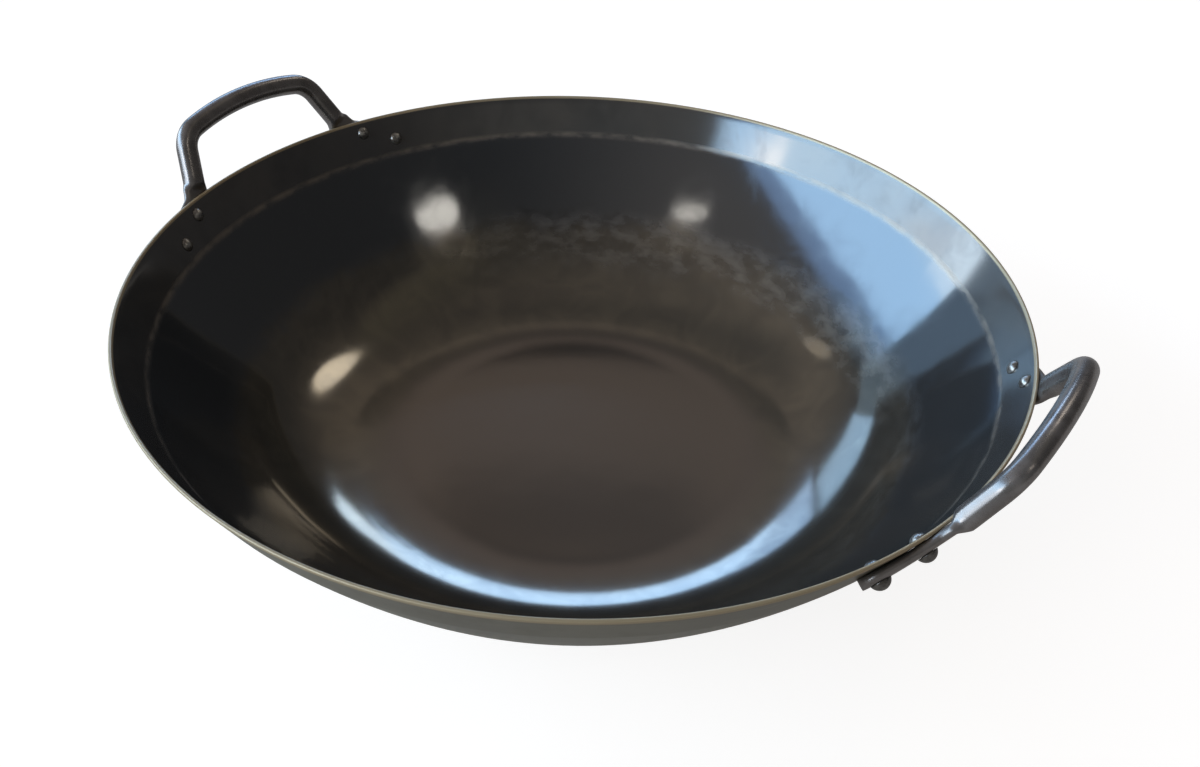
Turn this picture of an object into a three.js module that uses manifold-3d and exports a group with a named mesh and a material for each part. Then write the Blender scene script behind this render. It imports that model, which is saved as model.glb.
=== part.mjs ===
// A two-handled iron pan: a pressed bowl with a flat floor, two bent bar handles and their rivets.
// Lengths are millimetres. Z is up, the pan stands on z = 0, and +X runs through both handles.
import * as THREE from 'three';
import { mergeVertices } from 'three/addons/utils/BufferGeometryUtils.js';
import Module from 'manifold-3d';

const wasm = await Module();
wasm.setup();

const degrees = THREE.MathUtils.degToRad;

// Bowl, measured to its inner face
const RIM_RADIUS = 195;
const BOWL_DEPTH = 92;
const SHEET = 1.6;
const BAND_LENGTH = 20.7;
const BAND_SLOPE = degrees(61.7);
const CREASE_RADIUS = 30;
const WALL_SLOPE = degrees(56.3);
const WALL_RADIUS = 353;
const KNUCKLE_RADIUS = 80;

// Handles, bent from round bar with both ends flattened into tabs
const BAR_DIAMETER = 10;
const HANDLE_HALF_WIDTH = 49.5;
const HANDLE_RISE = 34.2;
const HANDLE_TILT = degrees(60);
const LEG_LEAN = degrees(19);
const CORNER_RADIUS = 14;
const GRIP_CROWN_RADIUS = 134;
const TAB_THICKNESS = 4.2;
const TAB_WIDTH = 14;
const TAB_EDGE_RADIUS = 1.9;
const TAB_FALL = degrees(20.5);
const TAB_OVERHANG = 7.2;
const FLATTEN_START = 2.3;
const FLATTEN_LENGTH = 4.5;
const BEND_REACH = 4.5;

// Rivets, through the tabs and the wall
const SHANK_DIAMETER = 4.6;
const INSIDE_HEAD_DIAMETER = 6.6;
const INSIDE_HEAD_HEIGHT = 2;
const OUTSIDE_HEAD_DIAMETER = 8;
const OUTSIDE_HEAD_HEIGHT = 3;
const FIRST_RIVET_DROP = 6;
const FIRST_RIVET_LEAD = 9.3;
const RIVET_PITCH = 19.6;

// Clearances between pieces
const SEAT_GAP = 0.3;
const SHANK_GAP = 0.3;

// Facets
const BOWL_SIDES = 72;
const KNUCKLE_STEPS = 8;
const WALL_STEPS = 4;
const CREASE_STEPS = 3;
const LIP_STEPS = 4;
const BAR_SIDES = 16;
const HOLE_SIDES = 16;
const RIVET_SIDES = 14;
const DOME_STEPS = 4;

// Values that follow from the sizes
const rimHeight = SHEET + BOWL_DEPTH;
const bandRun = BAND_LENGTH * Math.cos(BAND_SLOPE);
const bandDrop = BAND_LENGTH * Math.sin(BAND_SLOPE);
const creaseBend = BAND_SLOPE - WALL_SLOPE;
const creaseTurnRadius = Math.sign(creaseBend) * CREASE_RADIUS;
const creaseTangent = creaseTurnRadius * Math.tan(creaseBend / 2);
const wallTopRadius = RIM_RADIUS - bandRun - creaseTangent * Math.cos(WALL_SLOPE);
const wallTopHeight = rimHeight - bandDrop - creaseTangent * Math.sin(WALL_SLOPE);
const wallCentreHeight = wallTopHeight + WALL_RADIUS * Math.cos(WALL_SLOPE);
const knuckleCentreHeight = SHEET + KNUCKLE_RADIUS;
const kneeSlope = Math.acos((wallCentreHeight - knuckleCentreHeight) / (WALL_RADIUS - KNUCKLE_RADIUS));
const wallRun = WALL_RADIUS * (Math.sin(WALL_SLOPE) - Math.sin(kneeSlope));
const floorRadius = wallTopRadius - wallRun - KNUCKLE_RADIUS * Math.sin(kneeSlope);
const tabLift = SHEET + SEAT_GAP + TAB_THICKNESS / 2;
const rootRadius = RIM_RADIUS + tabLift * Math.sin(BAND_SLOPE);
const rootHeight = rimHeight - tabLift * Math.cos(BAND_SLOPE);
const rootX = Math.sqrt(rootRadius ** 2 - HANDLE_HALF_WIDTH ** 2);
const firstRivetTurn = Math.asin(HANDLE_HALF_WIDTH / rootRadius) + FIRST_RIVET_LEAD / rootRadius;

// A point at a turn round the pan, a distance down the rim band and a lift off its inner face
function bandPoint(turn, drop, lift) {
  const radius = RIM_RADIUS - drop * Math.cos(BAND_SLOPE) + lift * Math.sin(BAND_SLOPE);
  const height = rimHeight - drop * Math.sin(BAND_SLOPE) - lift * Math.cos(BAND_SLOPE);
  return new THREE.Vector3(radius * Math.cos(turn), radius * Math.sin(turn), height);
}

// The direction straight out of the rim band at a turn
function bandNormal(turn) {
  const level = Math.sin(BAND_SLOPE);
  return new THREE.Vector3(level * Math.cos(turn), level * Math.sin(turn), -Math.cos(BAND_SLOPE));
}

// The turn and the drop of a point along a tab, measured from its first rivet
function tabPlace(along) {
  const turn = firstRivetTurn + along * Math.cos(TAB_FALL) / rootRadius;
  const drop = FIRST_RIVET_DROP + along * Math.sin(TAB_FALL);
  return { turn, drop };
}

// Geometry as a closed solid for joining and cutting
function solidOf(geometry) {
  const bare = geometry.clone();
  bare.deleteAttribute('normal');
  bare.deleteAttribute('uv');
  const merged = mergeVertices(bare, 1e-4);
  const corners = merged.index.array;
  const kept = [];
  for (let i = 0; i < corners.length; i += 3) {
    const [a, b, c] = [corners[i], corners[i + 1], corners[i + 2]];
    if (a !== b && b !== c && c !== a) {
      kept.push(a, b, c);
    }
  }
  const mesh = new wasm.Mesh({
    numProp: 3,
    vertProperties: new Float32Array(merged.attributes.position.array),
    triVerts: new Uint32Array(kept),
  });
  return new wasm.Manifold(mesh);
}

// A solid turned back into geometry
function geometryOf(solid) {
  const mesh = solid.getMesh();
  const geometry = new THREE.BufferGeometry();
  geometry.setAttribute('position', new THREE.BufferAttribute(mesh.vertProperties, 3));
  geometry.setIndex(new THREE.BufferAttribute(mesh.triVerts, 1));
  geometry.computeVertexNormals();
  return geometry;
}

// The inner face of the bowl from floor to rim, as radius, height and slope
function bowlMeridian() {
  const stations = [];
  for (let i = 0; i < KNUCKLE_STEPS; i++) {
    const slope = kneeSlope * i / KNUCKLE_STEPS;
    const radius = floorRadius + KNUCKLE_RADIUS * Math.sin(slope);
    const height = knuckleCentreHeight - KNUCKLE_RADIUS * Math.cos(slope);
    stations.push({ radius, height, slope });
  }
  for (let i = 0; i < WALL_STEPS; i++) {
    const slope = kneeSlope + (WALL_SLOPE - kneeSlope) * i / WALL_STEPS;
    const radius = wallTopRadius - WALL_RADIUS * (Math.sin(WALL_SLOPE) - Math.sin(slope));
    const height = wallCentreHeight - WALL_RADIUS * Math.cos(slope);
    stations.push({ radius, height, slope });
  }
  const creaseCentreRadius = wallTopRadius - creaseTurnRadius * Math.sin(WALL_SLOPE);
  const creaseCentreHeight = wallTopHeight + creaseTurnRadius * Math.cos(WALL_SLOPE);
  for (let i = 0; i <= CREASE_STEPS; i++) {
    const slope = WALL_SLOPE + creaseBend * i / CREASE_STEPS;
    const radius = creaseCentreRadius + creaseTurnRadius * Math.sin(slope);
    const height = creaseCentreHeight - creaseTurnRadius * Math.cos(slope);
    stations.push({ radius, height, slope });
  }
  stations.push({ radius: RIM_RADIUS, height: rimHeight, slope: BAND_SLOPE });
  return stations;
}

// The bowl: inner face up, rounded lip over, outer face down, all turned round the axis
function bowlGeometry() {
  const stations = bowlMeridian();
  const profile = [new THREE.Vector2(0, SHEET)];
  for (const { radius, height } of stations) {
    profile.push(new THREE.Vector2(radius, height));
  }
  for (let i = 1; i < LIP_STEPS; i++) {
    const sweep = Math.PI * i / LIP_STEPS;
    const across = SHEET / 2 * (1 - Math.cos(sweep));
    const along = SHEET / 2 * Math.sin(sweep);
    const radius = RIM_RADIUS + across * Math.sin(BAND_SLOPE) + along * Math.cos(BAND_SLOPE);
    const height = rimHeight - across * Math.cos(BAND_SLOPE) + along * Math.sin(BAND_SLOPE);
    profile.push(new THREE.Vector2(radius, height));
  }
  for (const { radius, height, slope } of stations.reverse()) {
    const outerRadius = radius + SHEET * Math.sin(slope);
    const outerHeight = height - SHEET * Math.cos(slope);
    profile.push(new THREE.Vector2(outerRadius, outerHeight));
  }
  profile.push(new THREE.Vector2(0, 0));
  profile.reverse();
  return new THREE.LatheGeometry(profile, BOWL_SIDES).rotateX(Math.PI / 2);
}

// The handle's plane, which leans out from the rim
const planeOrigin = new THREE.Vector3(rootX, 0, rootHeight);
const planeUp = new THREE.Vector3(Math.cos(HANDLE_TILT), 0, Math.sin(HANDLE_TILT));
const planeNormal = new THREE.Vector3(Math.sin(HANDLE_TILT), 0, -Math.cos(HANDLE_TILT));

// A point of that plane
function planePoint(rise, side) {
  const point = planeOrigin.clone().addScaledVector(planeUp, rise);
  point.y += side;
  return point;
}

// One half of the handle's centre line, from the middle of the grip to the end of the tab
function handleHalf() {
  const points = [];
  const gripCentre = HANDLE_RISE - GRIP_CROWN_RADIUS;
  const insetRise = -CORNER_RADIUS * Math.sin(LEG_LEAN);
  const insetSide = HANDLE_HALF_WIDTH - CORNER_RADIUS * Math.cos(LEG_LEAN);
  const reach = GRIP_CROWN_RADIUS - CORNER_RADIUS;
  const forward = (insetRise - gripCentre) * Math.cos(LEG_LEAN) - insetSide * Math.sin(LEG_LEAN);
  const apart = (insetRise - gripCentre) ** 2 + insetSide ** 2 - reach ** 2;
  const legLength = -forward + Math.sqrt(forward ** 2 - apart);
  const cornerRise = insetRise + legLength * Math.cos(LEG_LEAN);
  const cornerSide = insetSide - legLength * Math.sin(LEG_LEAN);
  const gripSweep = Math.atan2(cornerSide, cornerRise - gripCentre);
  const cornerSweep = Math.PI / 2 - LEG_LEAN;
  for (let i = 0; i < 6; i++) {
    const sweep = gripSweep * i / 6;
    const rise = gripCentre + GRIP_CROWN_RADIUS * Math.cos(sweep);
    points.push(planePoint(rise, GRIP_CROWN_RADIUS * Math.sin(sweep)));
  }
  for (let i = 0; i < 6; i++) {
    const sweep = gripSweep + (cornerSweep - gripSweep) * i / 6;
    const rise = cornerRise + CORNER_RADIUS * Math.cos(sweep);
    points.push(planePoint(rise, cornerSide + CORNER_RADIUS * Math.sin(sweep)));
  }
  const legEnd = FLATTEN_START + FLATTEN_LENGTH;
  for (let i = 0; i < 2; i++) {
    const down = legLength + (legEnd - legLength) * i / 2;
    const side = HANDLE_HALF_WIDTH - down * Math.sin(LEG_LEAN);
    points.push(planePoint(down * Math.cos(LEG_LEAN), side));
  }
  const bendSide = HANDLE_HALF_WIDTH - legEnd * Math.sin(LEG_LEAN);
  const bendStart = planePoint(legEnd * Math.cos(LEG_LEAN), bendSide);
  const legWay = planeUp.clone().multiplyScalar(-Math.cos(LEG_LEAN));
  legWay.y += Math.sin(LEG_LEAN);
  const tabStart = -OUTSIDE_HEAD_DIAMETER / 2 - SEAT_GAP;
  const start = tabPlace(tabStart);
  const next = tabPlace(tabStart + 0.01);
  const bendEnd = bandPoint(start.turn, start.drop, tabLift);
  const tabWay = bandPoint(next.turn, next.drop, tabLift).sub(bendEnd).normalize();
  const bend = new THREE.CubicBezierCurve3(
    bendStart,
    bendStart.clone().addScaledVector(legWay, BEND_REACH),
    bendEnd.clone().addScaledVector(tabWay, -BEND_REACH),
    bendEnd,
  );
  points.push(...bend.getPoints(10).slice(0, 10));
  const tabLength = RIVET_PITCH + TAB_OVERHANG - tabStart;
  const roundFrom = tabLength - TAB_WIDTH / 2;
  for (let i = 0; i < 6; i++) {
    const place = tabPlace(tabStart + roundFrom * i / 6);
    points.push(bandPoint(place.turn, place.drop, tabLift));
  }
  for (let i = 0; i <= 6; i++) {
    const share = Math.sin(Math.PI / 2 * i / 6.4);
    const place = tabPlace(tabStart + roundFrom + TAB_WIDTH / 2 * share);
    points.push(bandPoint(place.turn, place.drop, tabLift));
  }
  return points;
}

// How flat the bar is at a point: 0 where it is round, 1 in the tab
function flatness(point) {
  const rise = point.clone().sub(planeOrigin).dot(planeUp);
  return 1 - THREE.MathUtils.smoothstep(rise, FLATTEN_START, FLATTEN_START + FLATTEN_LENGTH);
}

// The same point moved onto the seat that the tab has along the band
function seated(point) {
  const radius = Math.hypot(point.x, point.y);
  const inward = RIM_RADIUS - radius;
  const drop = inward * Math.cos(BAND_SLOPE) + (rimHeight - point.z) * Math.sin(BAND_SLOPE);
  return bandPoint(Math.atan2(point.y, point.x), drop, tabLift);
}

// The handle: a section that changes from round bar to flat tab, carried along the centre line
function handleGeometry() {
  const half = handleHalf();
  const mirrored = half.slice(1).map((point) => new THREE.Vector3(point.x, -point.y, point.z));
  const line = [...mirrored.reverse(), ...half];
  const path = line.map((point) => point.clone().lerp(seated(point), flatness(point)));
  const end = tabPlace(RIVET_PITCH + TAB_OVERHANG);
  const tip = bandPoint(end.turn, end.drop, tabLift);
  const positions = [];
  const indices = [];
  path.forEach((point, i) => {
    const before = path[Math.max(i - 1, 0)];
    const after = path[Math.min(i + 1, path.length - 1)];
    const way = after.clone().sub(before).normalize();
    const flat = flatness(point);
    const out = planeNormal.clone().lerp(bandNormal(Math.atan2(point.y, point.x)), flat);
    const side = way.clone().cross(out).normalize();
    const depth = side.clone().cross(way);
    const fromTip = Math.hypot(point.x - tip.x, Math.abs(point.y) - tip.y, point.z - tip.z);
    const inset = Math.max(TAB_WIDTH / 2 - fromTip, 0);
    const tabHalf = Math.sqrt((TAB_WIDTH / 2) ** 2 - inset ** 2);
    const halfDepth = THREE.MathUtils.lerp(BAR_DIAMETER, TAB_THICKNESS, flat) / 2;
    const halfWidth = THREE.MathUtils.lerp(BAR_DIAMETER / 2, tabHalf, flat);
    const edge = THREE.MathUtils.lerp(BAR_DIAMETER / 2, TAB_EDGE_RADIUS, flat);
    const round = Math.min(edge, halfDepth, halfWidth);
    for (let j = 0; j < BAR_SIDES; j++) {
      const turn = 2 * Math.PI * (j + 0.5) / BAR_SIDES;
      const deep = Math.sign(Math.cos(turn)) * (halfDepth - round) + round * Math.cos(turn);
      const wide = Math.sign(Math.sin(turn)) * (halfWidth - round) + round * Math.sin(turn);
      const corner = point.clone().addScaledVector(depth, deep).addScaledVector(side, wide);
      positions.push(corner.x, corner.y, corner.z);
    }
  });
  const rings = path.length;
  for (let i = 0; i < rings - 1; i++) {
    for (let j = 0; j < BAR_SIDES; j++) {
      const a = i * BAR_SIDES + j;
      const b = i * BAR_SIDES + (j + 1) % BAR_SIDES;
      indices.push(a, b, b + BAR_SIDES, a, b + BAR_SIDES, a + BAR_SIDES);
    }
  }
  const last = (rings - 1) * BAR_SIDES;
  for (let j = 1; j < BAR_SIDES - 1; j++) {
    indices.push(0, j + 1, j);
    indices.push(last, last + j, last + j + 1);
  }
  const geometry = new THREE.BufferGeometry();
  geometry.setAttribute('position', new THREE.Float32BufferAttribute(positions, 3));
  geometry.setIndex(indices);
  return geometry;
}

// A domed head as points from its crown out to its edge
function dome(diameter, height, seat, way) {
  const edge = diameter / 2;
  const ball = (edge ** 2 + height ** 2) / (2 * height);
  const sweep = Math.asin(Math.min(edge / ball, 1));
  const full = height > edge ? Math.PI - sweep : sweep;
  const points = [];
  for (let i = 0; i <= DOME_STEPS; i++) {
    const turn = full * i / DOME_STEPS;
    const along = height - ball * (1 - Math.cos(turn));
    points.push(new THREE.Vector2(ball * Math.sin(turn), seat + way * along));
  }
  return points;
}

// A rivet along its own axis, with 0 at the inner face of the wall
function rivetGeometry() {
  const outsideSeat = SHEET + SEAT_GAP + TAB_THICKNESS + SEAT_GAP;
  const inside = dome(INSIDE_HEAD_DIAMETER, INSIDE_HEAD_HEIGHT, -SEAT_GAP, -1);
  const outside = dome(OUTSIDE_HEAD_DIAMETER, OUTSIDE_HEAD_HEIGHT, outsideSeat, 1);
  const shank = [
    new THREE.Vector2(SHANK_DIAMETER / 2, -SEAT_GAP),
    new THREE.Vector2(SHANK_DIAMETER / 2, outsideSeat),
  ];
  return new THREE.LatheGeometry([...inside, ...shank, ...outside.reverse()], RIVET_SIDES);
}

// The cutter for a rivet hole through wall and tab
function holeGeometry() {
  const through = SHEET + SEAT_GAP + TAB_THICKNESS;
  const radius = SHANK_DIAMETER / 2 + SHANK_GAP;
  const length = through + 2 * OUTSIDE_HEAD_HEIGHT;
  return new THREE.CylinderGeometry(radius, radius, length, HOLE_SIDES).translate(0, through / 2, 0);
}

// The place of each rivet of one handle
function rivetPlaces() {
  const places = [];
  for (const [end, mirror] of [['front', -1], ['back', 1]]) {
    for (const [level, along] of [['upper', 0], ['lower', RIVET_PITCH]]) {
      const place = tabPlace(along);
      const turn = mirror * place.turn;
      const position = bandPoint(turn, place.drop, 0);
      const axis = new THREE.Vector3(0, 1, 0);
      const facing = new THREE.Quaternion().setFromUnitVectors(axis, bandNormal(turn));
      places.push({ end, level, position, facing });
    }
  }
  return places;
}

// Cut the holes of one handle's rivets, in a handle turned round the pan
function drilled(solid, turn) {
  const spin = new THREE.Matrix4().makeRotationZ(turn);
  let result = solid;
  for (const { position, facing } of rivetPlaces()) {
    const place = new THREE.Matrix4().compose(position, facing, new THREE.Vector3(1, 1, 1));
    const cutter = holeGeometry().applyMatrix4(place.premultiply(spin));
    result = result.subtract(solidOf(cutter));
  }
  return result;
}

// Materials
const bowlIron = new THREE.MeshStandardMaterial({ color: 0x34302d, roughness: 0.36, metalness: 0.9 });
const barIron = new THREE.MeshStandardMaterial({ color: 0x3d3632, roughness: 0.42, metalness: 0.9 });
const rivetIron = new THREE.MeshStandardMaterial({ color: 0x4c4743, roughness: 0.35, metalness: 0.95 });

// Assembly
const pan = new THREE.Group();
const bowl = new THREE.Mesh(geometryOf(drilled(drilled(solidOf(bowlGeometry()), 0), Math.PI)), bowlIron);
bowl.name = 'pan_body';
pan.add(bowl);

const handle = geometryOf(drilled(solidOf(handleGeometry()), 0));
const rivet = geometryOf(solidOf(rivetGeometry()));
const ends = { right: { front: 'front', back: 'back' }, left: { front: 'back', back: 'front' } };

for (const [hand, turn] of [['right', 0], ['left', Math.PI]]) {
  const side = new THREE.Group();
  side.rotation.z = turn;
  const bar = new THREE.Mesh(handle.clone(), barIron);
  bar.name = `${hand}_handle`;
  side.add(bar);
  for (const { end, level, position, facing } of rivetPlaces()) {
    const pin = new THREE.Mesh(rivet.clone(), rivetIron);
    pin.name = `rivet_${hand}_${ends[hand][end]}_${level}`;
    pin.position.copy(position);
    pin.quaternion.copy(facing);
    side.add(pin);
  }
  pan.add(side);
}

export default pan;
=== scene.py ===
# %% [markdown]
# # A two-handled iron pan
# The pan is a bowl pressed from one sheet of iron, two handles bent from round bar, and eight rivets.
# The packed CAD model is loaded first, and every piece made here stands where its CAD solid stands.
# The CAD solids carry the sizes. The pieces here carry the fine curves and the finishes.

# %% Load the packed model
import math

import bmesh
import bpy
from mathutils import Matrix, Vector
from mathutils.geometry import interpolate_bezier, intersect_sphere_sphere_2d


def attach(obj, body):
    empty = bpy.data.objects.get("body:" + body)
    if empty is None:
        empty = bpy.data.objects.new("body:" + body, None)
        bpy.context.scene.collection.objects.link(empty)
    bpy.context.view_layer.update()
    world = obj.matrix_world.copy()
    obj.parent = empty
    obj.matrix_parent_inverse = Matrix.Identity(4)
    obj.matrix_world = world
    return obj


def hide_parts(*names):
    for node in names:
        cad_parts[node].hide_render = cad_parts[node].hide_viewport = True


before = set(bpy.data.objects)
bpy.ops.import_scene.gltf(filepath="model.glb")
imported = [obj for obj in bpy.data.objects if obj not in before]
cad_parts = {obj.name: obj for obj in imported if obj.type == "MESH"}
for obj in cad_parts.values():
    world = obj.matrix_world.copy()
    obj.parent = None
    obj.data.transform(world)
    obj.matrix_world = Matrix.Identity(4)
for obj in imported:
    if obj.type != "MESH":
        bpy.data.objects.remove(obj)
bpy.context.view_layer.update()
print("CAD nodes:", sorted(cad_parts))

# %% [markdown]
# ## The camera
# The photograph was taken from above the pan's front right, with a fairly wide lens and the camera
# tipped a little to one side. The place, the lens and the tilt were solved from the rim and the rivets,
# so they are written down as numbers, in metres, and in millimetres for the lens. A tracking quaternion
# aims the camera and a turn about its own axis adds the tilt, which is easier to read than a matrix.

# %% Place the camera
CAMERA_PLACE = Vector((0.25176, -0.36794, 0.37754))
CAMERA_TARGET = Vector((0.04934, -0.05572, 0.0936))
CAMERA_TILT = math.radians(2.564)
SENSOR_WIDTH = 36.0
LENS_LENGTH = 35.768
NEAREST_SEEN = 0.01

camera_data = bpy.data.cameras.new("camera")
camera_data.sensor_width = SENSOR_WIDTH
camera_data.lens = LENS_LENGTH
camera_data.clip_start = NEAREST_SEEN
camera = bpy.data.objects.new("camera", camera_data)
aim = (CAMERA_TARGET - CAMERA_PLACE).to_track_quat("-Z", "Y")
tilt = Matrix.Rotation(CAMERA_TILT, 4, "Z")
camera.matrix_world = Matrix.Translation(CAMERA_PLACE) @ aim.to_matrix().to_4x4() @ tilt
bpy.context.scene.collection.objects.link(camera)
bpy.context.scene.camera = camera
bpy.context.scene.view_settings.view_transform = "Standard"
print("camera is", round((CAMERA_TARGET - CAMERA_PLACE).length, 3), "m from its target")

# %% [markdown]
# ## Writing finishes as sums
# A finish is a tree of nodes, and most of the tree is arithmetic. Adding each Math node by hand hides
# the idea, so one small class wraps a socket and lets Python's own operators add the nodes. Every other
# kind of node comes from one method that takes its type, its settings and its sockets.

# %% A socket that can be added and multiplied
class Value:
    """One output socket. Arithmetic on it adds Math nodes to its tree."""

    def __init__(self, tree, socket):
        self.tree = tree
        self.socket = socket

    def sum(self, operation, first, second):
        return self.tree.node("Math", {"operation": operation}, {0: first, 1: second})

    def __add__(self, other):
        return self.sum("ADD", self, other)

    def __radd__(self, other):
        return self.sum("ADD", other, self)

    def __sub__(self, other):
        return self.sum("SUBTRACT", self, other)

    def __rsub__(self, other):
        return self.sum("SUBTRACT", other, self)

    def __mul__(self, other):
        return self.sum("MULTIPLY", self, other)

    def __rmul__(self, other):
        return self.sum("MULTIPLY", other, self)


print("a value can be added, subtracted and multiplied, from either side")


# %% A tree that makes the other nodes
class Tree:
    """The node tree of a material or of the world."""

    def __init__(self, owner):
        owner.use_nodes = True
        self.owner = owner
        self.nodes = owner.node_tree.nodes
        self.links = owner.node_tree.links
        self.nodes.clear()

    def node(self, kind, settings=None, sockets=None, output=0):
        made = self.nodes.new("ShaderNode" + kind)
        for name, setting in (settings or {}).items():
            setattr(made, name, setting)
        for name, value in (sockets or {}).items():
            if isinstance(value, Value):
                self.links.new(value.socket, made.inputs[name])
            else:
                made.inputs[name].default_value = value
        return Value(self, made.outputs[output]) if made.outputs else made

    def place(self):
        return self.node("TexCoord", output="Object")

    def attribute(self, name):
        return self.node("Attribute", {"attribute_name": name}, output="Fac")

    def ray(self, kind):
        return self.node("LightPath", output=f"Is {kind} Ray")

    def mirrored(self):
        """1 for what is seen in a reflection, and 0 for the rest."""
        return self.ray("Glossy") + self.ray("Transmission")

    def towards(self, vector, direction):
        """How far a vector reaches in one direction."""
        sockets = {0: vector, 1: direction}
        return self.node("VectorMath", {"operation": "DOT_PRODUCT"}, sockets, output="Value")

    def noise(self, vector, scale, detail, roughness, distortion=0.0):
        sockets = {"Vector": vector, "Scale": scale, "Detail": detail}
        sockets.update({"Roughness": roughness, "Distortion": distortion})
        return self.node("TexNoise", {"noise_dimensions": "3D"}, sockets)

    def stretched(self, vector, scale):
        return self.node("Mapping", {"vector_type": "POINT"}, {"Vector": vector, "Scale": scale})

    def rise(self, value, low, high):
        """A soft step: 0 up to low, and 1 from high on."""
        sockets = {"Value": value, "From Min": low, "From Max": high}
        return self.node("MapRange", {"interpolation_type": "SMOOTHSTEP"}, sockets)

    def belt(self, value, start, full, fade, end):
        """A soft stripe, which comes in from start to full and goes from fade to end."""
        return self.rise(value, start, full) * (1 - self.rise(value, fade, end))

    def blend(self, cover, under, over):
        return self.node("Mix", {"data_type": "RGBA"}, {0: cover, 6: under, 7: over}, output=2)

    def coats(self, colour, layers):
        """Lays colours over the first one in turn. A layer is its cover, 0 to 1, and its colour."""
        for cover, tint in layers:
            colour = self.blend(cover, colour, tint)
        return colour

    def bump(self, height, distance, strength):
        return self.node("Bump", None, {"Height": height, "Distance": distance, "Strength": strength})

    def metal(self, colour, roughness, metallic, normal):
        sockets = {"Base Color": colour, "Roughness": roughness, "Metallic": metallic, "Normal": normal}
        surface = self.node("BsdfPrincipled", None, sockets)
        self.node("OutputMaterial", None, {"Surface": surface})
        return self.owner


print("a tree can make", [name for name in vars(Tree) if not name.startswith("_")])

# %% [markdown]
# ## The floor
# The pan stands on plain white paper. A bright floor could be lit until it clips, but then it would
# also light the pan from below. So the paper itself is a mid tone that takes the shadow, and a glow is
# added that only the camera sees in full. Reflections see a weaker glow, because the outside of the
# pan mirrors a floor that is not as bright as the page behind it.

# %% Floor
PAPER_RADIUS = 4.0
PAPER_SIDES = 96
PAPER_TONE = (0.34, 0.29, 0.25, 1.0)
FULL_GLOW = (0.87, 0.87, 0.87, 1.0)
NO_GLOW = (0.0, 0.0, 0.0, 1.0)
MIRRORED_GLOW = 0.22


def stand(name, bm):
    """Turns a bmesh into an object in the scene."""
    data = bpy.data.meshes.new(name)
    bm.to_mesh(data)
    bm.free()
    made = bpy.data.objects.new(name, data)
    bpy.context.scene.collection.objects.link(made)
    return made


floor_mesh = bmesh.new()
bmesh.ops.create_circle(floor_mesh, cap_ends=True, segments=PAPER_SIDES, radius=PAPER_RADIUS)
studio_floor = stand("studio_floor", floor_mesh)

paper = Tree(bpy.data.materials.new("white_floor"))
seen = paper.ray("Camera") + MIRRORED_GLOW * paper.mirrored()
matte = paper.node("BsdfDiffuse", None, {"Color": PAPER_TONE})
glow = paper.node("Emission", None, {"Color": paper.blend(seen, NO_GLOW, FULL_GLOW)})
paper.node("OutputMaterial", None, {"Surface": paper.node("AddShader", None, {0: matte, 1: glow})})
studio_floor.data.materials.append(paper.owner)
print("floor radius", PAPER_RADIUS, "m")

# %% [markdown]
# ## The room
# The inside of the pan is a dark, blurred mirror, so most of what the eye reads as its shape is the
# room round it. A plain grey world would leave the bowl flat. This one is a simple room of dim walls
# and a warm ceiling that is lighter on the window side. A picture of a room could do the same, but a
# few soft steps are easier to move. A side is an angle, as a photographer would note it. A height is
# the upward part of a direction, 0 at the horizon and 1 overhead.

# %% Room light
WALL_TONE = (0.075, 0.075, 0.078, 1.0)
CEILING_TONE = (0.350, 0.308, 0.274, 1.0)
FRONT_TONE = (0.22, 0.215, 0.20, 1.0)
RIGHT_TONE = (0.19, 0.178, 0.150, 1.0)


def heading(azimuth, elevation=0.0):
    """A direction from two angles in degrees. Azimuth runs anticlockwise from the right handle."""
    a, e = math.radians(azimuth), math.radians(elevation)
    return Vector((math.cos(a) * math.cos(e), math.sin(a) * math.cos(e), math.sin(e)))


room = Tree(bpy.data.worlds.new("room"))
bpy.context.scene.world = room.owner
way = room.node("TexCoord", output="Generated")
height = room.node("SeparateXYZ", None, {0: way}, output="Z")
window_side = room.towards(way, heading(190))
far_side = room.towards(way, heading(124))
front_side = room.towards(way, heading(290))
right_side = room.towards(way, heading(35))

ceiling = room.rise(height, 0.3, 0.7) * room.rise(window_side, -0.75, 0.45)
ceiling = ceiling * (1 - 0.3 * room.rise(height, 0.78, 0.92))
ceiling = ceiling * (1 - 0.5 * room.rise(height, 0.72, 0.80) * room.rise(far_side, 0.1, 0.45))
front = room.rise(front_side, 0.2, 0.8) * (1 - room.rise(height, 0.5, 0.66))
right = room.rise(right_side, 0.2, 0.6) * room.rise(height, 0.68, 0.80)
print("room light has", len(room.nodes), "nodes so far")

# %% [markdown]
# ## The dark fitting and the page
# One dark fitting under the ceiling shows on the flat floor of the pan as a dark oval. It could be a
# black plane, but in the world it needs no object. Two more coats follow. At the horizon and below,
# reflections see a mid grey, as if the paper went on. The camera sees nothing of the room, only a
# white page.

# %% Fitting and page
FITTING_TONE = (0.06, 0.06, 0.06, 1.0)
HORIZON_TONE = (0.4, 0.4, 0.4, 1.0)
PAGE_TONE = (1.0, 1.0, 1.0, 1.0)

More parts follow.
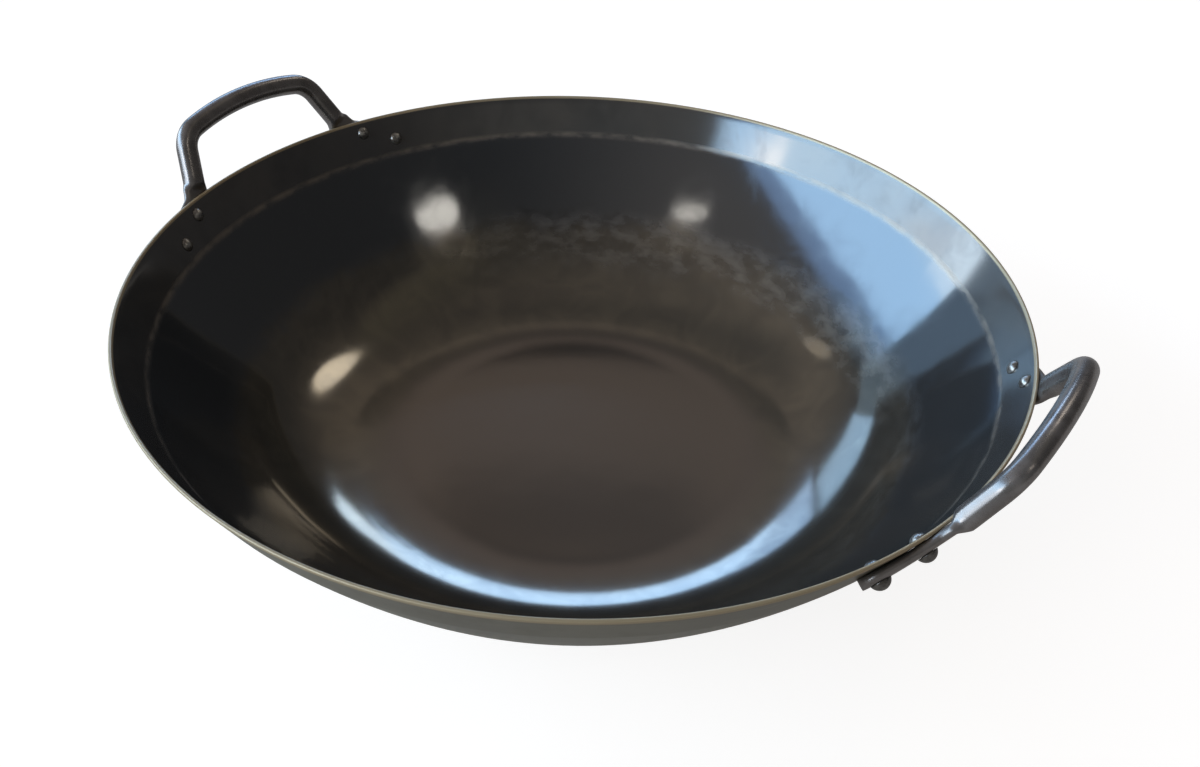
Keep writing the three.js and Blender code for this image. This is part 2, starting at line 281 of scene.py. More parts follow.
across = room.towards(way, heading(34.5))
fitting = room.belt(height, 0.655, 0.678, 0.712, 0.724)
fitting = fitting * (1 - room.rise(across * across, 0.008, 0.016)) * room.rise(window_side, 0.0, 0.1)
horizon = room.mirrored() * (1 - room.rise(height, 0.0, 0.05))
room_coats = (
    (ceiling, CEILING_TONE),
    (front, FRONT_TONE),
    (right, RIGHT_TONE),
    (0.7 * fitting, FITTING_TONE),
    (horizon, HORIZON_TONE),
    (room.ray("Camera"), PAGE_TONE),
)
tone = room.coats(WALL_TONE, room_coats)
room.node("OutputWorld", None, {"Surface": room.node("Background", None, {"Color": tone})})
print("room light uses", len(room.nodes), "nodes")

# %% [markdown]
# ## Windows and lamps
# Cool windows beyond the far rim draw the bright arc along the near knuckle. A large cool window at
# the left lights the right wall, and four small warm lamps leave soft spots. They could be glowing
# planes, but area lamps sample cleanly and stay out of the picture. They stand far off, so the whole
# pan sees them at the same angles, and each is given by those angles.

# %% Lamps by their angles
LAMP_DISTANCE = 12.0
LAMP_CENTRE = Vector((0.0, 0.0, 0.05))
LAMP_WARMTH = (1.0, 0.94, 0.84)


def lamp(name, place, facing, wide, tall, level, colour, shape="RECTANGLE", roll=0.0):
    """A flat lamp. Facing points from the pan to the lamp, and level is how bright it looks."""
    data = bpy.data.lights.new(name, "AREA")
    data.shape = shape
    data.size = wide
    data.size_y = tall
    area = wide * tall * (math.pi / 4 if shape == "ELLIPSE" else 1)
    data.energy = level * math.pi * area
    data.color = colour
    made = bpy.data.objects.new(name, data)
    turn = facing.to_track_quat("Z", "Y").to_matrix().to_4x4()
    turn = turn @ Matrix.Rotation(math.radians(roll), 4, "Z")
    made.matrix_world = Matrix.Translation(LAMP_CENTRE + place) @ turn
    made.visible_camera = False
    bpy.context.scene.collection.objects.link(made)


def window(name, facing, left, right, bottom, top, level, colour):
    """An upright pane in a wall that faces the pan. Its edges are angles seen from the pan."""
    x0, x1 = (LAMP_DISTANCE * math.tan(math.radians(edge - facing)) for edge in (left, right))
    z0, z1 = (LAMP_DISTANCE * math.tan(math.radians(edge)) for edge in (bottom, top))
    place = heading(facing) * LAMP_DISTANCE + heading(facing + 90) * (x0 + x1) / 2
    lamp(name, place + Vector((0, 0, (z0 + z1) / 2)), heading(facing), x1 - x0, z1 - z0, level, colour)


def ceiling_lamp(name, azimuth, elevation, wide, tall, level, roll=0.0):
    """An oval lamp overhead. Its width and height are angles too."""
    out = heading(azimuth, elevation)
    size = [2 * LAMP_DISTANCE * math.tan(math.radians(angle) / 2) for angle in (wide, tall)]
    lamp(name, out * LAMP_DISTANCE, out, *size, level, LAMP_WARMTH, "ELLIPSE", roll)


print("lamps will stand", LAMP_DISTANCE, "m from the pan")

# %% Place the lamps
# A window: its wall's azimuth, its left, right, bottom and top edges, its level and its colour
window("far_pane_1", 140, 113.5, 120.5, 21.6, 28.5, 6.8, (0.54, 0.74, 1.0))
window("far_pane_2", 140, 120.5, 123.5, 20, 30.6, 7.8, (0.42, 0.65, 1.0))
window("far_pane_3", 140, 123.5, 128, 20, 32.5, 7.8, (0.36, 0.60, 1.0))
window("far_pane_4", 140, 128, 136.5, 19, 32.5, 4.6, (0.34, 0.58, 1.0))
window("far_pane_5", 125, 138, 161, 13.5, 31, 3.9, (0.36, 0.62, 1.0))
window("far_sill", 140, 150, 161, 3, 11, 1.0, (0.42, 0.68, 1.0))
window("corner", 140, 161, 177, 3, 27, 0.85, (0.42, 0.68, 1.0))
window("left_blind", 238, 177, 263, 35.6, 38.2, 2.2, (0.30, 0.55, 1.0))
window("left_sky", 238, 177, 263, 28, 35.6, 6.5, (0.41, 0.68, 1.0))
window("left_haze", 238, 187, 243, 19, 28, 6.4, (0.50, 0.74, 1.0))
window("left_cloud", 238, 243, 263, 19, 28, 8.6, (0.88, 0.94, 1.0))
window("left_edge", 238, 177, 187, 8, 28, 7.2, (0.64, 0.82, 1.0))
window("left_sill", 238, 187, 263, 5, 19, 4.8, (0.68, 0.83, 1.0))
# A ceiling lamp: its azimuth and elevation, its width and height, its level and its roll
ceiling_lamp("right_lamp", 2, 45.2, 12, 4.0, 5.4, -13)
ceiling_lamp("front_lamp", 261, 47.6, 10, 2.2, 4.2, 18)
ceiling_lamp("back_lamp", 86, 41, 10, 14, 3.2)
ceiling_lamp("left_lamp", 184, 39, 8, 10, 0.7)

# %% [markdown]
# ## Sizes
# These are the sizes of the CAD model, in metres, so the finer pieces land on its solids. They could be
# measured off its meshes, but arcs are drawn from radii and slopes, which a mesh does not keep. One
# place differs. Here the flat floor is a little smaller, and a wide arc leads from it into a tighter
# knuckle, because the reflections in the photograph bend that gently. The sheet stays within about
# 0.6 mm of the CAD one.

# %% Sizes of the pan
RIM_RADIUS = 0.195
BOWL_DEPTH = 0.092
SHEET = 0.0016
BAND_LENGTH = 0.0207
BAND_SLOPE = math.radians(61.7)
CREASE_RADIUS = 0.030
WALL_SLOPE = math.radians(56.3)
WALL_RADIUS = 0.353
KNUCKLE_RADIUS = 0.0765
BLEND_RADIUS = 0.185
FLOOR_RADIUS = 0.077
rim = Vector((RIM_RADIUS, 0, SHEET + BOWL_DEPTH))


def outward(slope):
    """The direction straight out of a wall of this slope, in the XZ plane."""
    return Vector((math.sin(slope), 0, -math.cos(slope)))


def uphill(slope):
    """The direction up a wall of this slope, in the XZ plane."""
    return Vector((math.cos(slope), 0, math.sin(slope)))


print("the rim is", 2 * RIM_RADIUS, "m across and stands at", round(rim.z, 4), "m")

# %% Centres of the bends
bend = BAND_SLOPE - WALL_SLOPE
tangent = CREASE_RADIUS * math.tan(bend / 2)
wall_top = rim - BAND_LENGTH * uphill(BAND_SLOPE) - tangent * uphill(WALL_SLOPE)
crease_centre = wall_top - CREASE_RADIUS * outward(WALL_SLOPE)
wall_centre = wall_top - WALL_RADIUS * outward(WALL_SLOPE)
blend_centre = Vector((FLOOR_RADIUS, 0, SHEET + BLEND_RADIUS))
meeting = intersect_sphere_sphere_2d(
    blend_centre.xz, BLEND_RADIUS - KNUCKLE_RADIUS, wall_centre.xz, WALL_RADIUS - KNUCKLE_RADIUS
)
knuckle_centre = min((Vector((x, 0, z)) for x, z in meeting), key=lambda centre: centre.z)
blend_end = math.atan2(knuckle_centre.x - blend_centre.x, blend_centre.z - knuckle_centre.z)
knee = math.atan2(knuckle_centre.x - wall_centre.x, wall_centre.z - knuckle_centre.z)
print("the blend ends at a slope of", round(math.degrees(blend_end), 1), "degrees")
print("the knuckle ends at a slope of", round(math.degrees(knee), 1), "degrees")

# %% [markdown]
# ## The bowl
# A real bowl like this is pressed from a flat disc, so it is round everywhere and one thickness. It
# could be a lathe of typed points, but arcs made by an operator keep their radius exactly, and the
# knuckle's radius decides how the bright arc bends. So a vertex is drawn like a pen: it is extruded
# along straight runs and spun about a centre for each bend. The finished outline is spun once round
# the pan's axis. Each vertex remembers how far along the outline it is, for the finish to read.

# %% A pen for outlines
def verts_of(geometry):
    return [part for part in geometry if isinstance(part, bmesh.types.BMVert)]


class Pen:
    """Draws an outline in the XZ plane by extruding and spinning one vertex."""

    def __init__(self, bm, x, z):
        self.bm = bm
        self.along = bm.verts.layers.float.new("along")
        self.tip = bmesh.ops.create_vert(bm, co=(x, 0, z))["vert"][0]

    def moved(self, new, start):
        self.tip = new
        new[self.along] = start[self.along] + (new.co - start.co).length

    def line(self, x, z, steps=1):
        begin = self.tip.co.copy()
        for i in range(1, steps + 1):
            start = self.tip
            new = bmesh.ops.extrude_vert_indiv(self.bm, verts=[start])["verts"][0]
            new.co = begin.lerp(Vector((x, 0, z)), i / steps)
            self.moved(new, start)

    def arc(self, centre, angle, steps):
        for _ in range(steps):
            start = self.tip
            made = bmesh.ops.spin(
                self.bm, geom=[start], cent=centre, axis=(0, 1, 0), angle=angle / steps, steps=1
            )["geom_last"]
            self.moved(verts_of(made)[0], start)


print("a pen draws by", [name for name in vars(Pen) if not name.startswith("_")])

# %% Spin an outline
MERGE_DISTANCE = 1e-6


def turned(bm, sides):
    """Spins the outline once round Z and closes its seam and poles."""
    outline = bm.verts[:] + bm.edges[:]
    bmesh.ops.spin(
        bm, geom=outline, cent=(0, 0, 0), axis=(0, 0, 1), angle=math.tau, steps=sides, use_merge=True
    )
    bmesh.ops.remove_doubles(bm, verts=bm.verts[:], dist=MERGE_DISTANCE)
    bmesh.ops.recalc_face_normals(bm, faces=bm.faces[:])


print("doubles within", MERGE_DISTANCE, "m will be merged")

# %% Draw and spin the bowl
FLOOR_STEPS = 12
BLEND_STEPS = 10
KNUCKLE_STEPS = 24
WALL_STEPS = 12
CREASE_STEPS = 6
BAND_STEPS = 5
LIP_STEPS = 10
BOWL_SIDES = 224

bowl_mesh = bmesh.new()
pen = Pen(bowl_mesh, 0, SHEET)
station = {}

pen.line(FLOOR_RADIUS, SHEET, FLOOR_STEPS)
pen.arc(blend_centre, -blend_end, BLEND_STEPS)
station["blend end"] = pen.tip[pen.along]
pen.arc(knuckle_centre, blend_end - knee, KNUCKLE_STEPS)
station["knuckle end"] = pen.tip[pen.along]
pen.arc(wall_centre, knee - WALL_SLOPE, WALL_STEPS)
pen.arc(crease_centre, -bend, CREASE_STEPS)
station["crease"] = pen.tip[pen.along] - bend * CREASE_RADIUS / 2
pen.line(rim.x, rim.z, BAND_STEPS)
station["rim"] = pen.tip[pen.along]
pen.arc(rim + outward(BAND_SLOPE) * SHEET / 2, math.pi, LIP_STEPS)
station["lip end"] = pen.tip[pen.along]
band_foot = crease_centre + outward(BAND_SLOPE) * (CREASE_RADIUS + SHEET)
pen.line(band_foot.x, band_foot.z, BAND_STEPS)
pen.arc(crease_centre, bend, CREASE_STEPS)
pen.arc(wall_centre, WALL_SLOPE - knee, WALL_STEPS)
pen.arc(knuckle_centre, knee - blend_end, KNUCKLE_STEPS)
pen.arc(blend_centre, blend_end, BLEND_STEPS)
pen.line(0, 0, FLOOR_STEPS)
turned(bowl_mesh, BOWL_SIDES)
print({name: round(1000 * where, 1) for name, where in station.items()})

# %% [markdown]
# ## The bowl's finish
# The iron has been blued and oiled, then used. Its inside is nearly black and glossy. The floor and
# knuckle carry a warm brown film, which ends at a ragged smoky tide line on the wall. The crease under
# the rim is rubbed paler, and the lip is worn to bare metal. The outside is duller and more olive, with
# scuffs, and with soot towards its base. All this could be painted on pictures, but the distance along
# the outline already tells the zones apart, and noise breaks up every border. Distances are in metres.

# %% Zones of the bowl
iron = Tree(bpy.data.materials.new("bowl_iron"))
place = iron.place()
along = iron.attribute("along")
cloud = iron.noise(place, 22.0, 5.0, 0.55)
smoke = iron.noise(iron.stretched(place, (1.0, 1.0, 2.2)), 95.0, 2.6, 0.52, 0.2)

floor_edge = station["blend end"]
crease_at = station["crease"]
rim_at = station["rim"]
lip_end = station["lip end"]
flat_floor = 1 - iron.rise(along, floor_edge - 0.016, floor_edge + 0.004)
outside = iron.rise(along, rim_at + 0.0010, rim_at + 0.0024)
lip = iron.belt(along, rim_at - 0.0011, rim_at - 0.0003, lip_end + 0.0006, lip_end + 0.0026)
band = iron.rise(along, crease_at - 0.001, crease_at + 0.001) * (1 - outside)
rubbed = iron.belt(along, crease_at - 0.0030, crease_at, crease_at, crease_at + 0.0024)
rubbed = rubbed * iron.rise(smoke, 0.20, 0.70)
print("the zones use", len(iron.nodes), "nodes")

# %% Film, smoke and soot
smear = iron.noise(iron.stretched(place, (1.0, 1.0, 0.6)), 40.0, 4.0, 0.6, 1.2)
streaks = iron.noise(iron.stretched(place, (1.0, 1.0, 5.0)), 55.0, 3.0, 0.6)

tide = station["knuckle end"] + 0.013
tide_edge = along + 0.020 * (cloud - 0.5) + 0.016 * (smoke - 0.5)
film = 1 - iron.rise(tide_edge, tide - 0.008, tide + 0.005)
mottle = film * (1 - flat_floor) * iron.rise(smear, 0.36, 0.70)
smoky = iron.belt(tide_edge, tide - 0.030, tide - 0.010, tide + 0.003, tide + 0.010)
stained_side = iron.towards(place, heading(85))
smoky = smoky * iron.rise(cloud, 0.22, 0.52) * (0.25 + 0.75 * iron.rise(stained_side, 0.02, 0.12))
patchy = smoky * iron.rise(smoke, 0.28, 0.72)

soot_start = lip_end + 0.050
soot_edge = along + 0.060 * (cloud - 0.5) + 0.020 * (smoke - 0.5)
soot = outside * iron.rise(soot_edge, soot_start, soot_start + 0.075)
scuff = outside * iron.rise(streaks, 0.60, 0.72) * (1 - soot)
print("the tide line is", round(1000 * tide, 1), "mm from the middle, along the sheet")

# %% Colours of the bowl
BLUED_IRON = (0.118, 0.121, 0.124, 1.0)
BROWN_FILM = (0.170, 0.153, 0.127, 1.0)
FLOOR_FILM = (0.205, 0.178, 0.156, 1.0)
PALE_MOTTLE = (0.250, 0.220, 0.172, 1.0)
BAND_BROWN = (0.20, 0.170, 0.140, 1.0)
BAND_SMEAR = (0.07, 0.068, 0.066, 1.0)
PALE_SMOKE = (0.225, 0.196, 0.166, 1.0)
DARK_SMOKE = (0.075, 0.070, 0.064, 1.0)
RUBBED_IRON = (0.33, 0.265, 0.200, 1.0)
OLIVE_IRON = (0.190, 0.172, 0.117, 1.0)
OLIVE_SPECK = (0.085, 0.074, 0.055, 1.0)
OLIVE_CLOUD = (0.110, 0.098, 0.072, 1.0)
SOOT_BLACK = (0.062, 0.056, 0.050, 1.0)
BARE_METAL = (0.50, 0.385, 0.235, 1.0)
PALE_SCUFF = (0.300, 0.275, 0.205, 1.0)

bowl_coats = (
    (film, BROWN_FILM),
    (flat_floor, FLOOR_FILM),
    (0.5 * mottle, PALE_MOTTLE),
    (0.7 * band * cloud, BAND_BROWN),
    (0.3 * band * iron.rise(smear, 0.42, 0.72), BAND_SMEAR),
    (0.5 * patchy, PALE_SMOKE),
    (0.45 * (smoky - patchy), DARK_SMOKE),
    (0.55 * rubbed, RUBBED_IRON),
    (outside, OLIVE_IRON),
    (0.30 * outside * smoke, OLIVE_SPECK),
    (0.35 * outside * iron.rise(cloud, 0.42, 0.62), OLIVE_CLOUD),
    (0.80 * soot, SOOT_BLACK),
    (0.9 * lip, BARE_METAL),
    (0.35 * scuff, PALE_SCUFF),
)
bowl_colour = iron.coats(BLUED_IRON, bowl_coats)
print("the bowl has", len(bowl_coats), "coats over the blued iron")

# %% Gloss and waves of the bowl
WAVE_HEIGHT = 0.00036

polish = iron.rise(along, floor_edge + 0.018, station["knuckle end"])
gloss = 0.125 - 0.05 * polish + 0.05 * iron.rise(smear, 0.45, 0.75) * polish
gloss = gloss + 0.04 * smoky + 0.05 * band + 0.12 * rubbed + 0.28 * outside + 0.08 * soot + 0.20 * lip
metallic = 0.82 - 0.25 * patchy - 0.32 * rubbed - 0.15 * band * cloud - 0.30 * outside - 0.38 * lip
waves = iron.noise(place, 34.0, 2.0, 0.4)
bowl_iron = iron.metal(bowl_colour, gloss, metallic, iron.bump(waves, WAVE_HEIGHT, 0.25))
print("bowl iron uses", len(iron.nodes), "nodes")


# %% Put the bowl in place of its CAD solid
def piece(name, bm, stands_for, finish):
    """Turns a bmesh into a smooth piece that rides on the pan in place of a CAD node."""
    for face in bm.faces:
        face.smooth = True
    made = stand(name, bm)
    made.data.materials.append(finish)
    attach(made, "root")
    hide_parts(stands_for)
    print(name, len(made.data.polygons), "faces")


piece("bowl", bowl_mesh, "pan_body", bowl_iron)

# %% [markdown]
# ## The handles
# Each handle is one length of round bar, bent to a loop, with both ends hammered flat and laid along
# the outside of the rim band. A curve with a bevel could draw the bar, but it could not flatten its
# ends. So a circle is extruded from station to station along a line that is worked out first. Sizes
# are those of the CAD model, apart from the gap at the seats, which is 0.05 mm here and 0.3 mm there,
# because the wider gap shows as a white slit.

# %% Sizes of the handles
BAR_DIAMETER = 0.010
HANDLE_HALF_WIDTH = 0.0495
HANDLE_RISE = 0.0342
HANDLE_TILT = math.radians(60)
LEG_LEAN = math.radians(19)
CORNER_RADIUS = 0.014
GRIP_CROWN_RADIUS = 0.134
TAB_THICKNESS = 0.0042
TAB_WIDTH = 0.014
TAB_FALL = math.radians(20.5)
TAB_OVERHANG = 0.0072
FLATTEN_START = 0.0023
FLATTEN_LENGTH = 0.0045
BEND_REACH = 0.0045
OUTSIDE_HEAD = 0.008
FIRST_RIVET_DROP = 0.006
FIRST_RIVET_LEAD = 0.0093
RIVET_PITCH = 0.0196
SEAT_GAP = 0.00005

tab_lift = SHEET + SEAT_GAP + TAB_THICKNESS / 2
root_radius = RIM_RADIUS + tab_lift * math.sin(BAND_SLOPE)
root_height = rim.z - tab_lift * math.cos(BAND_SLOPE)
root_x = math.sqrt(root_radius**2 - HANDLE_HALF_WIDTH**2)
first_turn = math.asin(HANDLE_HALF_WIDTH / root_radius) + FIRST_RIVET_LEAD / root_radius
loop_up = Vector((math.cos(HANDLE_TILT), 0, math.sin(HANDLE_TILT)))
loop_out = Vector((math.sin(HANDLE_TILT), 0, -math.cos(HANDLE_TILT)))
print("first rivet stands", round(math.degrees(first_turn), 2), "degrees round from the handle's middle")


# %% Places on the rim band and on the loop
def band_place(turn, drop, lift):
    """A place on the band: this far round, down the slope from the rim, and out of the sheet."""
    radius = RIM_RADIUS - drop * math.cos(BAND_SLOPE) + lift * math.sin(BAND_SLOPE)
    level = rim.z - drop * math.sin(BAND_SLOPE) - lift * math.cos(BAND_SLOPE)
    return Vector((radius * math.cos(turn), radius * math.sin(turn), level))


def band_facing(turn):
    """The direction straight out of the band."""
    flat = math.sin(BAND_SLOPE)
    return Vector((flat * math.cos(turn), flat * math.sin(turn), -math.cos(BAND_SLOPE)))


def tab_place(distance, lift=tab_lift):
    """A place on the middle line of a tab, this far past its first rivet."""
    turn = first_turn + distance * math.cos(TAB_FALL) / root_radius
    return band_place(turn, FIRST_RIVET_DROP + distance * math.sin(TAB_FALL), lift)


def loop_place(rise, side):
    """A place in the tilted plane of the loop."""
    return Vector((root_x, side, root_height)) + loop_up * rise


def leg_place(up):
    """A place on the straight leg, this far up from its root."""
    return loop_place(up * math.cos(LEG_LEAN), HANDLE_HALF_WIDTH - up * math.sin(LEG_LEAN))


print("a leg starts at", [round(v, 4) for v in leg_place(0.0)])

# %% [markdown]
# ## The line of a handle
# From its middle, the bar runs along a gently crowned grip, round a corner and down a leaning leg. A
# bend brings it to the tab, which follows the round band downhill. Two arcs, a straight, a Bezier curve
# and the band itself say this with few numbers, where a list of points would need many. Only half the
# line is worked out, and the other half mirrors it.

# %% Where the grip meets the leg
# The corner's centre lies one corner radius inside the leg, and one inside the arc of the grip
crown_centre = HANDLE_RISE - GRIP_CROWN_RADIUS
inset = Vector((0, HANDLE_HALF_WIDTH))
inset -= CORNER_RADIUS * Vector((math.sin(LEG_LEAN), math.cos(LEG_LEAN)))
reach = GRIP_CROWN_RADIUS - CORNER_RADIUS
ahead = (inset.x - crown_centre) * math.cos(LEG_LEAN) - inset.y * math.sin(LEG_LEAN)
apart = (inset.x - crown_centre) ** 2 + inset.y**2 - reach**2
leg_length = -ahead + math.sqrt(ahead**2 - apart)
corner = inset + leg_length * Vector((math.cos(LEG_LEAN), -math.sin(LEG_LEAN)))
grip_turn = math.atan2(corner.y, corner.x - crown_centre)
corner_turn = math.pi / 2 - LEG_LEAN
print("a leg is", round(1000 * leg_length, 1), "mm long")

# %% The line of half a handle
GRIP_STEPS = 16
CORNER_STEPS = 14
LEG_STEPS = 6
BEND_STEPS = 18
TAB_STEPS = 14
TIP_STEPS = 12
TIP_FULL = 12.3
TINY_STEP = 1e-5


def half_line():
    """Places from the middle of the grip to the tip of a tab. The last one stops just short of it."""
    line = []
    for i in range(GRIP_STEPS):
        t = grip_turn * i / GRIP_STEPS
        rise = crown_centre + GRIP_CROWN_RADIUS * math.cos(t)
        line.append(loop_place(rise, GRIP_CROWN_RADIUS * math.sin(t)))
    for i in range(CORNER_STEPS):
        t = grip_turn + (corner_turn - grip_turn) * i / CORNER_STEPS
        spot = corner + CORNER_RADIUS * Vector((math.cos(t), math.sin(t)))
        line.append(loop_place(spot.x, spot.y))
    leg_end = FLATTEN_START + FLATTEN_LENGTH
    for i in range(LEG_STEPS):
        line.append(leg_place(leg_length + (leg_end - leg_length) * i / LEG_STEPS))
    start = leg_place(leg_end)
    leg_way = -loop_up * math.cos(LEG_LEAN) + Vector((0, math.sin(LEG_LEAN), 0))
    tab_start = -OUTSIDE_HEAD / 2 - SEAT_GAP
    end = tab_place(tab_start)
    tab_way = (tab_place(tab_start + TINY_STEP) - end).normalized()
    leave = start + leg_way * BEND_REACH
    arrive = end - tab_way * BEND_REACH
    line.extend(interpolate_bezier(start, leave, arrive, end, BEND_STEPS + 1)[:-1])
    straight = RIVET_PITCH + TAB_OVERHANG - tab_start - TAB_WIDTH / 2
    for i in range(TAB_STEPS):
        line.append(tab_place(tab_start + straight * i / TAB_STEPS))
    for i in range(TIP_STEPS + 1):
        t = math.pi / 2 * i / TIP_FULL
        line.append(tab_place(tab_start + straight + TAB_WIDTH / 2 * math.sin(t)))
    return line


half = half_line()
print("half a handle has", len(half), "stations")

# %% [markdown]
# ## The bar and its flat ends
# A hammer spreads the round bar sideways into a flat tab with a rounded tip. Each station gets one
# matrix that places, turns and squeezes a ring of radius 1, so the bar can go from round to flat step
# by step. A squeezed ring would still be an oval, so the tabs are then pressed between two flats, with
# a formula that leaves thin places alone and holds back thick ones.

# %% Rings along the bar
UNPRESSED_DEPTH = 0.68 * TAB_THICKNESS


def flatness(point):
    """How far the bar is hammered flat: 0 on the loop and 1 on the tabs."""
    rise = (point - Vector((root_x, 0, root_height))).dot(loop_up)
    t = min(max((rise - FLATTEN_START) / FLATTEN_LENGTH, 0.0), 1.0)
    return 1 - t * t * (3 - 2 * t)


def seated(point):
    """The same place, moved to the height above the band where a tab lies."""
    inward = RIM_RADIUS - math.hypot(point.x, point.y)
    drop = inward * math.cos(BAND_SLOPE) + (rim.z - point.z) * math.sin(BAND_SLOPE)
    return band_place(math.atan2(point.y, point.x), drop, tab_lift)


mirrored_half = [Vector((p.x, -p.y, p.z)) for p in half[:0:-1]]
line = [p.lerp(seated(p), flatness(p)) for p in mirrored_half + half]
tip = tab_place(RIVET_PITCH + TAB_OVERHANG)
bar_half = BAR_DIAMETER / 2
rings = []
for i, point in enumerate(line):
    way = (line[min(i + 1, len(line) - 1)] - line[max(i - 1, 0)]).normalized()
    flat = flatness(point)
    facing = loop_out.lerp(band_facing(math.atan2(point.y, point.x)), flat)
    side = way.cross(facing).normalized()
    depth = side.cross(way)
    from_tip = (Vector((point.x, abs(point.y), point.z)) - tip).length
    into_tip = max(TAB_WIDTH / 2 - from_tip, 0)
    tab_half = math.sqrt((TAB_WIDTH / 2) ** 2 - into_tip**2)
    wide = bar_half + (tab_half - bar_half) * flat
    deep = bar_half + (UNPRESSED_DEPTH - bar_half) * flat
    press = bar_half + (TAB_THICKNESS / 2 - bar_half) * flat
    ring = Matrix((side * wide, depth * deep, way)).transposed().to_4x4()
    ring.translation = point
    rings.append((ring, depth, press, flat))
print("rings along the bar:", len(rings))

# %% Extrude a handle ring by ring
BAR_SIDES = 36
PRESS_POWER = 8


def handle_mesh(turn):
    """A whole handle, turned about the pan's axis. Each vertex remembers how flat it is."""
    bm = bmesh.new()
    flat_layer = bm.verts.layers.float.new("flat")
    bmesh.ops.create_circle(bm, cap_ends=False, segments=BAR_SIDES, radius=1.0, matrix=rings[0][0])
    loop = bm.edges[:]
    ring_verts = bm.verts[:]
    groups = [ring_verts]
    for (before, _, _, _), (after, _, _, _) in zip(rings, rings[1:]):
        made = bmesh.ops.extrude_edge_only(bm, edges=loop)["geom"]
        ring_verts = verts_of(made)
        fresh = set(ring_verts)
        loop = [g for g in made if isinstance(g, bmesh.types.BMEdge) and set(g.verts) <= fresh]
        bmesh.ops.transform(bm, matrix=after @ before.inverted(), verts=ring_verts)
        groups.append(ring_verts)
    for verts, (ring, depth, press, flat) in zip(groups, rings):
        for vert in verts:
            lift = (vert.co - ring.translation).dot(depth)
            pressed = lift / (1 + (lift / press) ** PRESS_POWER) ** (1 / PRESS_POWER)
            vert.co += depth * (pressed - lift)
            vert[flat_layer] = flat
    ends = [edge for edge in bm.edges if edge.is_boundary]
    bmesh.ops.holes_fill(bm, edges=ends, sides=0)
    bmesh.ops.recalc_face_normals(bm, faces=bm.faces[:])
    bmesh.ops.rotate(bm, cent=(0, 0, 0), matrix=Matrix.Rotation(turn, 3, "Z"), verts=bm.verts[:])
    return bm


print("a handle will have", len(rings) * BAR_SIDES, "vertices")

# %% [markdown]
# ## The handles' finish
# The bar is smooth dark iron, browner than the bowl, with a soft sheen from being held. The hammered
# tabs are darker and duller. An even grey would look like plastic, so patches and fine bright flecks
# break up the sheen, and the flatness that each vertex remembers tells the tabs from the bar.

# %% Bar iron
DARK_BAR = (0.212, 0.192, 0.180, 1.0)
PALE_BAR = (0.295, 0.268, 0.254, 1.0)
TAB_BROWN = (0.16, 0.145, 0.12, 1.0)
BRIGHT_FLECK = (0.42, 0.38, 0.34, 1.0)
BAR_RELIEF = 0.0006

bar = Tree(bpy.data.materials.new("bar_iron"))
place = bar.place()
tabs = bar.attribute("flat")
patch = bar.noise(place, 70.0, 5.0, 0.6, 0.4)
fine = bar.noise(place, 900.0, 3.0, 0.55)
bar_coats = (
    (bar.rise(patch, 0.35, 0.68), PALE_BAR),
    (0.35 * tabs * patch, TAB_BROWN),
    (0.25 * bar.rise(fine, 0.66, 0.80), BRIGHT_FLECK),
)
bar_colour = bar.coats(DARK_BAR, bar_coats)
gloss = 0.275 + 0.12 * (patch - 0.5) + 0.10 * tabs + 0.08 * (fine - 0.5)
normal = bar.bump(0.5 * patch + 0.08 * fine, BAR_RELIEF, 0.30)
bar_iron = bar.metal(bar_colour, gloss, 0.82 - 0.15 * patch, normal)
print("bar iron uses", len(bar.nodes), "nodes")

# %% Put both handles in place
# Each has a name, its turn about the pan's axis, and the names of its two tabs
HANDS = (("right", 0.0, ("front", "back")), ("left", math.pi, ("back", "front")))
for hand, turn, _ in HANDS:
    piece(f"{hand}_bar", handle_mesh(turn), f"{hand}_handle", bar_iron)

# %% [markdown]
# ## The rivets
# A rivet starts as a pin with a domed head outside, and its inner end is hammered over into a small
# dome. It could be two balls and a cylinder, but those would overlap. So each one is drawn with the
# same pen as the bowl and spun about its own axis, then turned to face straight out of the band and
# moved to its place.

# %% Shape and place of a rivet
SHANK_DIAMETER = 0.0046
INSIDE_HEAD = 0.0066
INSIDE_HEAD_HEIGHT = 0.002
OUTSIDE_HEAD_HEIGHT = 0.003
DOME_STEPS = 10
RIVET_SIDES = 40


def dome_ball(diameter, height):
    """The radius of the ball that a dome is cut from."""
    return ((diameter / 2) ** 2 + height**2) / (2 * height)


def rivet_mesh(matrix):
    """A rivet drawn from its inner dome to its outer one, then put in place."""
    bm = bmesh.new()
    seat = SHEET + SEAT_GAP + TAB_THICKNESS + SEAT_GAP
    inner = dome_ball(INSIDE_HEAD, INSIDE_HEAD_HEIGHT)
    outer = dome_ball(OUTSIDE_HEAD, OUTSIDE_HEAD_HEIGHT)
    inner_centre = (0, 0, inner - SEAT_GAP - INSIDE_HEAD_HEIGHT)
    outer_centre = (0, 0, seat + OUTSIDE_HEAD_HEIGHT - outer)
    pen = Pen(bm, 0, -SEAT_GAP - INSIDE_HEAD_HEIGHT)
    pen.arc(inner_centre, -math.asin(INSIDE_HEAD / 2 / inner), DOME_STEPS)
    pen.line(SHANK_DIAMETER / 2, -SEAT_GAP)
    pen.line(SHANK_DIAMETER / 2, seat)
    pen.line(OUTSIDE_HEAD / 2, seat)
    pen.arc(outer_centre, -math.asin(OUTSIDE_HEAD / 2 / outer), DOME_STEPS)
    turned(bm, RIVET_SIDES)
    bmesh.ops.transform(bm, matrix=matrix, verts=bm.verts[:])
    return bm


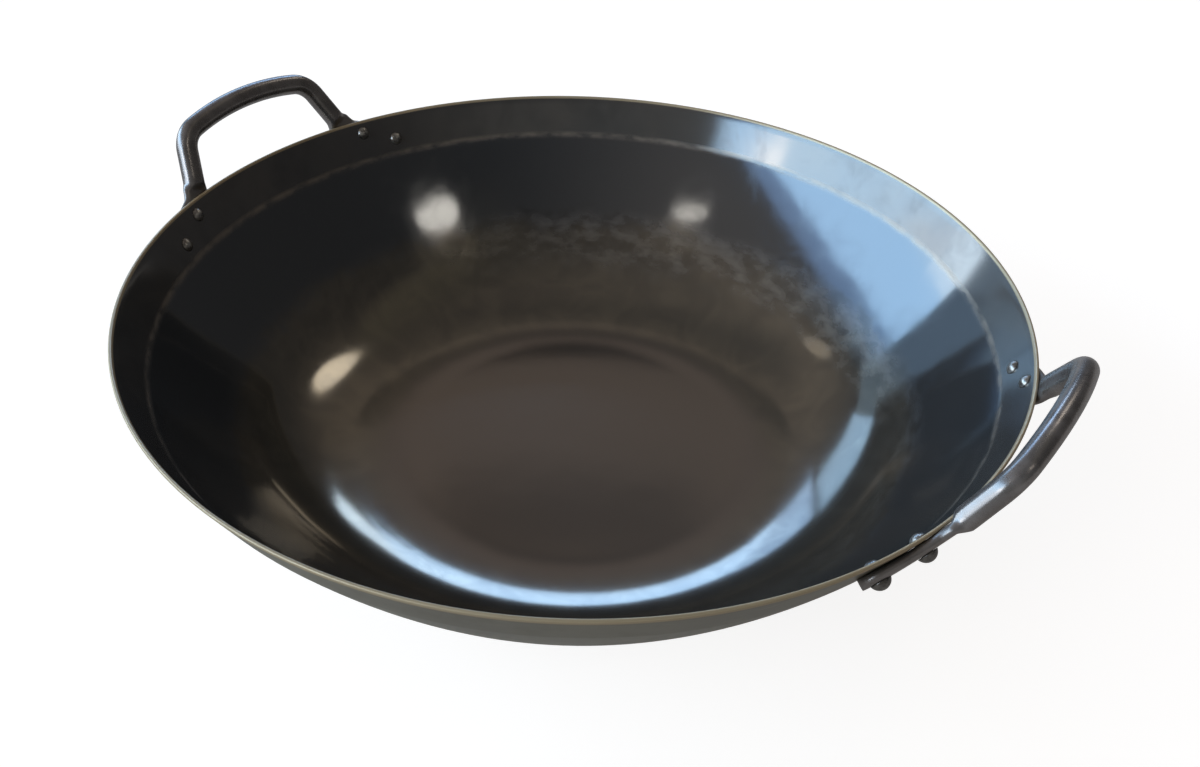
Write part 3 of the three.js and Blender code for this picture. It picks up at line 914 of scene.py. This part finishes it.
def rivet_stand(distance, mirror, turn):
    """The matrix of a rivet this far along a tab, on one side of a handle."""
    where = tab_place(distance, 0.0)
    turn = turn + mirror * math.atan2(where.y, where.x)
    radius = math.hypot(where.x, where.y)
    spot = Vector((radius * math.cos(turn), radius * math.sin(turn), where.z))
    facing = band_facing(turn).to_track_quat("Z", "Y").to_matrix().to_4x4()
    return Matrix.Translation(spot) @ facing


print("the first rivet stands at", [round(v, 4) for v in rivet_stand(0.0, 1, 0.0).translation])

# %% [markdown]
# ## The rivets' finish
# The hammered inner domes are brighter than the sheet round them. The outer heads are dark like the
# tabs, and this dark colour is painted shade, because they face down and outward. Two materials could do
# this, but the pen has left each vertex its distance along the outline, so one is enough. The change
# lies at the outer end of the shank, where the tab hides it.

# %% Rivet iron
DARK_RIVET = (0.20, 0.185, 0.168, 1.0)
BRIGHT_RIVET = (0.42, 0.395, 0.36, 1.0)
# Painted shade: the outer heads face down, so their colour is darkened
SHADED_OUTER_RIVET = (0.085, 0.078, 0.070, 1.0)
RIVET_RELIEF = 0.0006
OUTER_START = 0.0105
OUTER_FULL = 0.0115

pin = Tree(bpy.data.materials.new("rivet_iron"))
dent = pin.noise(pin.place(), 420.0, 4.0, 0.6)
# Where the outer head begins, painted shade darkens the rivet's colour
shaded_outer_head = pin.rise(pin.attribute("along"), OUTER_START, OUTER_FULL)
pin_coats = ((pin.rise(dent, 0.4, 0.65), BRIGHT_RIVET), (0.7 * shaded_outer_head, SHADED_OUTER_RIVET))
pin_colour = pin.coats(DARK_RIVET, pin_coats)
normal = pin.bump(dent, RIVET_RELIEF, 0.4)
rivet_iron = pin.metal(pin_colour, 0.28 + 0.18 * (dent - 0.5), 0.85 - 0.1 * dent, normal)
print("rivet iron uses", len(pin.nodes), "nodes")

# %% Put the rivets in place
for hand, turn, ends in HANDS:
    for end, mirror in zip(ends, (-1, 1)):
        for level, distance in (("upper", 0.0), ("lower", RIVET_PITCH)):
            name = f"{hand}_{end}_{level}"
            made = rivet_mesh(rivet_stand(distance, mirror, turn))
            piece(f"pin_{name}", made, f"rivet_{name}", rivet_iron)

# %% [markdown]
# ## The size
# The dressed pan must keep the CAD model's size.
